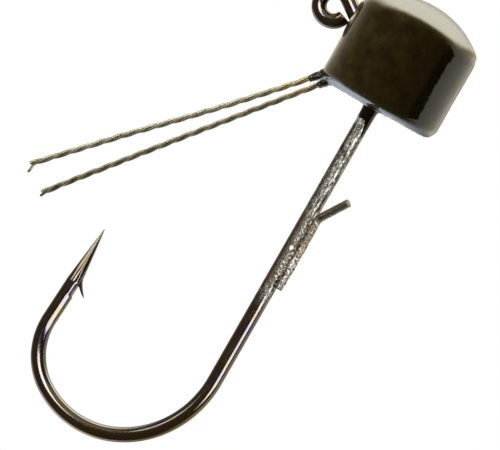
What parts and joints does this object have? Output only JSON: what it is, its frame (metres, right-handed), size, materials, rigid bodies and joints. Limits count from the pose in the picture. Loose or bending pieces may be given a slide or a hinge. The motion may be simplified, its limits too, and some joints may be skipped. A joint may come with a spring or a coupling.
{
  "type": "jig head",
  "caption": "Finesse fishing jig head: painted lead head on a barbed hook, with a line eye, wire bait keeper and springy twisted wire weed guard.",
  "frame": {"origin": "centre of the line eye", "axes": "+X along the hook shank towards the nose of the head, +Z towards the hook point side, Y across the hook plane"},
  "size_m": [0.0351, 0.0086, 0.022],
  "materials": {
    "head_paint": "gloss",
    "hook_nickel": "polished black nickel",
    "keeper_wire": "tinned, slightly rough",
    "solder": "flowed solder",
    "guard_wire": "drawn wire",
    "guard_glue": "gloss"
  },
  "bodies": {
    "hook_and_head": {"hook": "hook_nickel", "head_casting": "head_paint", "bait_keeper": "keeper_wire", "keeper_solder": "solder", "guard_stub_near": "guard_wire", "guard_stub_far": "guard_wire", "guard_glue_near": "guard_glue", "guard_glue_far": "guard_glue"},
    "whisker_near": {"guard_strand_near_1": "guard_wire", "guard_strand_near_2": "guard_wire", "guard_strand_near_3": "guard_wire"},
    "whisker_far": {"guard_strand_far_1": "guard_wire", "guard_strand_far_2": "guard_wire", "guard_strand_far_3": "guard_wire"}
  },
  "joints": [
    {"name": "whisker_near_flex", "type": "hinge", "parent": "hook_and_head", "child": "whisker_near", "pos_m": [-0.00493, -0.00161, -0.00139], "axis": [0, -1, 0], "range_deg": [-10, 35], "stiffness_Nm_per_rad": 0.004},
    {"name": "whisker_far_flex", "type": "hinge", "parent": "hook_and_head", "child": "whisker_far", "pos_m": [-0.00495, 0.00127, -0.00135], "axis": [0, -1, 0], "range_deg": [-10, 35], "stiffness_Nm_per_rad": 0.004}
  ]
}
